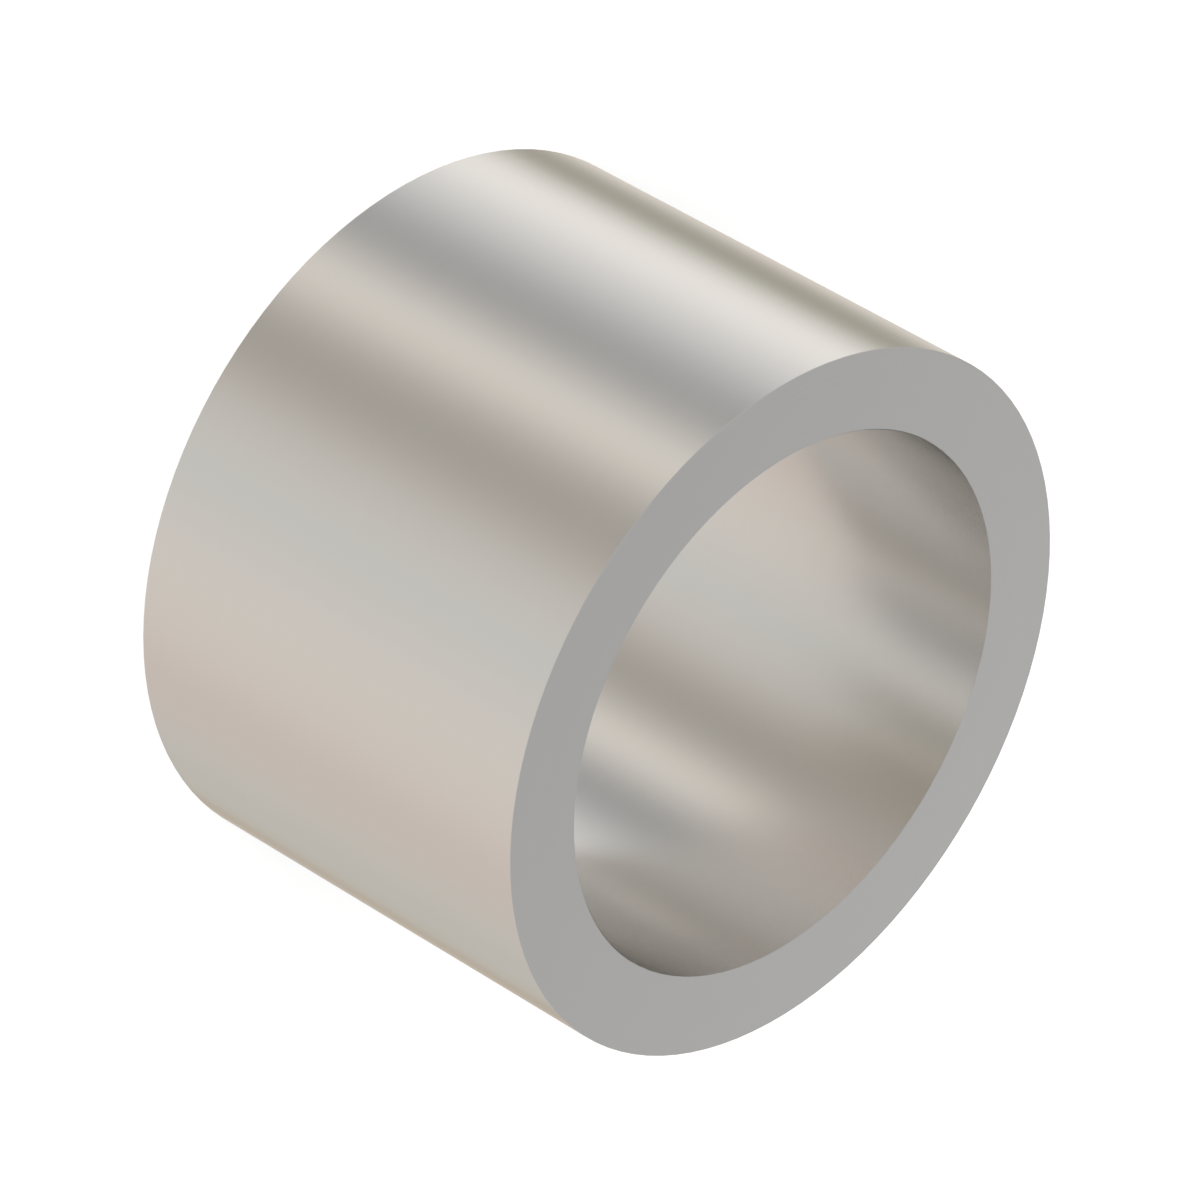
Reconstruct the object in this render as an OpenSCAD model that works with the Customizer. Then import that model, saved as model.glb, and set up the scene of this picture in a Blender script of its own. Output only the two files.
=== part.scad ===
// Plain sleeve bushing, turned and bored from one length of steel bar.
// It stands on its lower end face, with the bore along +Z.
// The origin is the centre of that face.

/* [Diameters] */
// Bore diameter: the nominal size of the shaft that turns in it
bore_d = 17; // [6:0.5:80]
// Wall thickness between the bore and the pressed-in outside
wall = 2.5; // [1:0.1:12]

/* [Length] */
// Length from end face to end face
length = 15; // [5:0.5:100]

/* [Broken edges] */
// Width of the 45 degree edge break at both mouths of the bore
bore_break = 0.02; // [0.01:0.01:0.4]
// Width of the 45 degree edge break at both ends of the outside
outer_break = 0.02; // [0.01:0.01:0.4]

/* [Hidden] */

bore_r = bore_d / 2;
outer_r = bore_r + wall;
turned_facets = 256;
steel = [0.74, 0.72, 0.69];

// Half section of the wall in X and Y, with the bore axis along Y:
// a plain rectangle whose four corners are broken by a light cut
module wall_section() {
    polygon([
        [bore_r + bore_break, 0],
        [outer_r - outer_break, 0],
        [outer_r, outer_break],
        [outer_r, length - outer_break],
        [outer_r - outer_break, length],
        [bore_r + bore_break, length],
        [bore_r, length - bore_break],
        [bore_r, bore_break]
    ]);
}

// The whole sleeve: its wall section turned about the bore axis
module sleeve() {
    color(steel)
        rotate_extrude($fn = turned_facets)
            wall_section();
}

sleeve();
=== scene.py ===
import math

import bpy
from mathutils import Matrix, Vector


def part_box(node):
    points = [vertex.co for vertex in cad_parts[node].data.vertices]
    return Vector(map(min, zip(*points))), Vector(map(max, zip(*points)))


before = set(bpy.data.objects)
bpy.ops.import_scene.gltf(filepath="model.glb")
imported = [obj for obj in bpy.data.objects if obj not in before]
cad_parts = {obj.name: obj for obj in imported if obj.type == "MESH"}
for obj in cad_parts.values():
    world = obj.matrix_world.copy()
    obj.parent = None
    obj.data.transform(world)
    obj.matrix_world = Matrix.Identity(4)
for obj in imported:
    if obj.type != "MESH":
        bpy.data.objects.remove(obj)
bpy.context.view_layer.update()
scene = bpy.context.scene
bpy.ops.object.select_all(action="DESELECT")

# Camera: a long lens that looks down at the part and is aimed at the middle of the bore.
# It is rolled over, so that the standing part lies in the picture as it was shown.
sleeve_low, sleeve_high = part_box("sleeve")
sleeve_middle = (sleeve_low + sleeve_high) / 2
camera_sensor = 36
camera_lens = 288.2
camera_distance = 0.27708
camera_elevation = math.radians(35.74)
camera_roll = math.radians(119.46)
camera_near = 0.01
camera_far = 10
camera_back = Vector((0, -math.cos(camera_elevation), math.sin(camera_elevation)))
camera_place = Matrix.Translation(sleeve_middle + camera_back * camera_distance)
tilt = Matrix.Rotation(math.pi / 2 - camera_elevation, 4, "X")
roll = Matrix.Rotation(camera_roll, 4, "Z")
bpy.ops.object.camera_add()
camera = bpy.context.object
camera.name = "camera"
camera.matrix_world = camera_place @ tilt @ roll
camera.data.sensor_width = camera_sensor
camera.data.lens = camera_lens
camera.data.clip_start = camera_near
camera.data.clip_end = camera_far
scene.camera = camera

# Wires: nodes joined by sums and blends that read as plain ones. A Mix node has several
# sockets with one name, so those for colours go by their numbers.
mix_first = 6
mix_second = 7
mix_result = 2


class Wire:
    """A node's output. Sums on it add Math nodes, and add() adds a node of any kind."""

    def __init__(self, tree, output=None):
        self.tree = tree
        self.output = output

    def add(self, kind, settings=None, sockets=None, output=0):
        node = self.tree.nodes.new(kind)
        for name, setting in (settings or {}).items():
            setattr(node, name, setting)
        for name, source in (sockets or {}).items():
            if isinstance(source, Wire):
                self.tree.links.new(source.output, node.inputs[name])
            else:
                node.inputs[name].default_value = source
        return Wire(self.tree, node.outputs[output] if node.outputs else None)

    def math(self, operation, *values):
        return self.add("ShaderNodeMath", {"operation": operation}, dict(enumerate(values)))

    def __add__(self, other):
        return self.math("ADD", self, other)

    def __radd__(self, other):
        return self.math("ADD", other, self)

    def __sub__(self, other):
        return self.math("SUBTRACT", self, other)

    def __mul__(self, other):
        return self.math("MULTIPLY", self, other)

    def __rmul__(self, other):
        return self.math("MULTIPLY", other, self)

    def __truediv__(self, other):
        return self.math("DIVIDE", self, other)

    def root(self):
        return self.math("SQRT", self)

    def exponential(self):
        return self.math("EXPONENT", self)

    def part(self, axis):
        return self.add("ShaderNodeSeparateXYZ", sockets={"Vector": self}, output=axis)

    def blend(self, first, second, share):
        colours = [(*end, 1) if isinstance(end, tuple) else end for end in (first, second)]
        inputs = {"Factor": share, mix_first: colours[0], mix_second: colours[1]}
        return self.add("ShaderNodeMix", {"data_type": "RGBA"}, inputs, output=mix_result)


# Sleeve: the whole bushing, one ring cut from steel bar. It is bored, turned outside and
# faced at both ends, and the fine feed of the tool leaves rings on every one of its surfaces.
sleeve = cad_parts["sleeve"]
steel_dark = (0.73, 0.723, 0.71)
steel_light = (0.75, 0.743, 0.731)
feed_pitch = 0.00011
ring_waver = 0.009
ring_height = 6e-7
ring_detail = 3
ring_fineness = 0.6
roughness_least = 0.22
roughness_spread = 0.02

steel = bpy.data.materials.new("turned_steel")
steel.use_nodes = True
steel.node_tree.nodes.clear()
wire = Wire(steel.node_tree)
place = wire.add("ShaderNodeTexCoord", output="Object")
across = place.part("X")
back = place.part("Y")
from_axis = (across * across + back * back).root()
feed = from_axis + place.part("Z")
ring_place = wire.add("ShaderNodeCombineXYZ", sockets={
    "X": across / ring_waver, "Y": back / ring_waver, "Z": feed / feed_pitch})
rings = wire.add("ShaderNodeTexNoise", sockets={
    "Vector": ring_place, "Scale": 1, "Detail": ring_detail, "Roughness": ring_fineness})
# The lathe cuts both walls true round, so the shading is turned to face straight along the
# radius, whatever small turn the facets of the mesh give it.
facing = wire.add("ShaderNodeTexCoord", output="Normal")
outward = wire.add("ShaderNodeCombineXYZ", sockets={
    "X": across / from_axis, "Y": back / from_axis})
lean = wire.add("ShaderNodeVectorMath", {"operation": "DOT_PRODUCT"},
                {0: facing, 1: outward}, output="Value")
round_facing = wire.add("ShaderNodeCombineXYZ", sockets={
    "X": outward.part("X") * lean, "Y": outward.part("Y") * lean, "Z": facing.part("Z")})
true_round = wire.add("ShaderNodeVectorTransform", {
    "vector_type": "NORMAL", "convert_from": "OBJECT", "convert_to": "WORLD"}, {
    "Vector": round_facing})
bump = wire.add("ShaderNodeBump", sockets={
    "Strength": 1, "Distance": ring_height, "Height": rings, "Normal": true_round})
shine = wire.add("ShaderNodeBsdfPrincipled", sockets={
    "Base Color": wire.blend(steel_dark, steel_light, rings),
    "Metallic": 1,
    "Roughness": roughness_least + roughness_spread * rings,
    "Normal": bump})
wire.add("ShaderNodeOutputMaterial", sockets={"Surface": shine})
sleeve.material_slots[0].material = steel

# Floor: a plain white sheet that the part stands on. It glows a little for the camera, so that
# it is white up to the part's foot, and only the soft shadow shows on it. The metal doesn't
# mirror it, and it is clear from beneath, so that the lower end face can be seen.
floor_size = 4
floor_gap = 0.00002
floor_glow = 0.5
sheet_tone = (0.8, 0.8, 0.8, 1)
glow_tone = (1, 1, 1, 1)
bpy.ops.mesh.primitive_plane_add(size=floor_size, location=(0, 0, sleeve_low.z - floor_gap))
floor = bpy.context.object
floor.name = "floor"
floor.visible_glossy = False
floor.visible_shadow = False
white_sheet = bpy.data.materials.new("white_sheet")
white_sheet.use_nodes = True
white_sheet.node_tree.nodes.clear()
wire = Wire(white_sheet.node_tree)
paper = wire.add("ShaderNodeBsdfDiffuse", sockets={"Color": sheet_tone})
seen = wire.add("ShaderNodeLightPath", output="Is Camera Ray")
glow = wire.add("ShaderNodeEmission", sockets={"Color": glow_tone, "Strength": seen * floor_glow})
top = wire.add("ShaderNodeAddShader", sockets={0: paper, 1: glow})
beneath = wire.add("ShaderNodeNewGeometry", output="Backfacing")
clear = wire.add("ShaderNodeBsdfTransparent")
sheet = wire.add("ShaderNodeMixShader", sockets={0: beneath, 1: top, 2: clear})
wire.add("ShaderNodeOutputMaterial", sockets={"Surface": sheet})
floor.data.materials.append(white_sheet)

# Surroundings: a tent of pale cloth round the part, with bright windows and darker gaps in its
# wall. A metal shows only what stands round it, so these make the soft bands down its sides.
# The walls mirror what lies below the horizon, so the tent goes on beneath the floor's level.
cloth = (0.82, 0.76, 0.7)
plain_cloth = (0.73, 0.72, 0.69)
warm_cloth = (0.75, 0.65, 0.6)
cool_cloth = (0.8, 0.8, 0.8)
dim_cloth = (0.62, 0.6, 0.55)
roof_cloth = (0.53, 0.53, 0.53)
window = (1.1, 1.06, 1.02)
near_window = (1.1, 1.04, 0.96)
roof_window = (1.15, 1.15, 1.15)
far_window = (1.3, 1.17, 1)
shade = (0.4, 0.4, 0.4)
warm_shade = (0.5, 0.42, 0.33)
near_shade = (0.45, 0.42, 0.38)
gap = (0.13, 0.13, 0.05)
post = (0, 0, 0)
roof_gap = (0.2, 0.2, 0.2)
backdrop_white = (1, 1, 1)
without_height = (1, 1, 0)
roof_starts = -0.1
roof_full = 0.15


def panel(tent, seen_way, tone, azimuth, spread, elevation=0):
    """Blends a panel with soft edges into the tent. Azimuth 0 is the camera's side."""
    turn = math.radians(azimuth)
    rise = math.radians(elevation)
    panel_way = (math.sin(turn) * math.cos(rise), -math.cos(turn) * math.cos(rise), math.sin(rise))
    towards = seen_way.add("ShaderNodeVectorMath", {"operation": "DOT_PRODUCT"},
                           {0: seen_way, 1: panel_way}, output="Value")
    share = ((towards - 1) / math.radians(spread) ** 2).exponential()
    return seen_way.blend(tent, tone, share)


world = bpy.data.worlds.new("tent")
scene.world = world
world.use_nodes = True
world.node_tree.nodes.clear()
wire = Wire(world.node_tree)
way = wire.add("ShaderNodeTexCoord", output="Generated")
flat_way = wire.add("ShaderNodeVectorMath", {"operation": "MULTIPLY"}, {
    0: way, 1: without_height})
level_way = wire.add("ShaderNodeVectorMath", {"operation": "NORMALIZE"}, {0: flat_way})
tent = panel(cloth, level_way, plain_cloth, azimuth=25, spread=15)
tent = panel(tent, level_way, warm_cloth, azimuth=100, spread=15)
tent = panel(tent, level_way, dim_cloth, azimuth=140, spread=20)
tent = panel(tent, level_way, far_window, azimuth=180, spread=8)
tent = panel(tent, level_way, post, azimuth=180, spread=5)
tent = panel(tent, level_way, warm_shade, azimuth=160, spread=6)
tent = panel(tent, level_way, cool_cloth, azimuth=-90, spread=15)
tent = panel(tent, level_way, gap, azimuth=-135, spread=12)
tent = panel(tent, level_way, window, azimuth=-115, spread=13)
tent = panel(tent, level_way, shade, azimuth=-68, spread=13)
tent = panel(tent, level_way, near_window, azimuth=-40, spread=10)
tent = panel(tent, level_way, near_shade, azimuth=-20, spread=15)
above = wire.add("ShaderNodeMapRange", {"interpolation_type": "SMOOTHSTEP"}, {
    "Value": way.part("Z"), "From Min": roof_starts, "From Max": roof_full})
tent = wire.blend(tent, roof_cloth, above)
tent = panel(tent, way, roof_window, azimuth=180, spread=9, elevation=15)
tent = panel(tent, way, roof_gap, azimuth=180, spread=12, elevation=55)
seen = wire.add("ShaderNodeLightPath", output="Is Camera Ray")
shown = wire.blend(tent, backdrop_white, seen)
backdrop = wire.add("ShaderNodeBackground", sockets={"Color": shown, "Strength": 1})
wire.add("ShaderNodeOutputWorld", sockets={"Surface": backdrop})

# Lamp: one large softbox over the camera's shoulder, which throws the part's shadow behind it.
lamp_reach = 0.5
lamp_size = 0.3
lamp_elevation = math.radians(60)
lamp_power = 1
lamp_back = Vector((0, -math.cos(lamp_elevation), math.sin(lamp_elevation)))
bpy.ops.object.light_add(type="AREA", location=sleeve_middle + lamp_back * lamp_reach)
lamp = bpy.context.object
lamp.name = "softbox"
lamp.rotation_euler = lamp_back.to_track_quat("Z", "Y").to_euler()
lamp.data.shape = "SQUARE"
lamp.data.size = lamp_size
lamp.data.energy = lamp_power
lamp.visible_glossy = False

scene.view_settings.view_transform = "Standard"
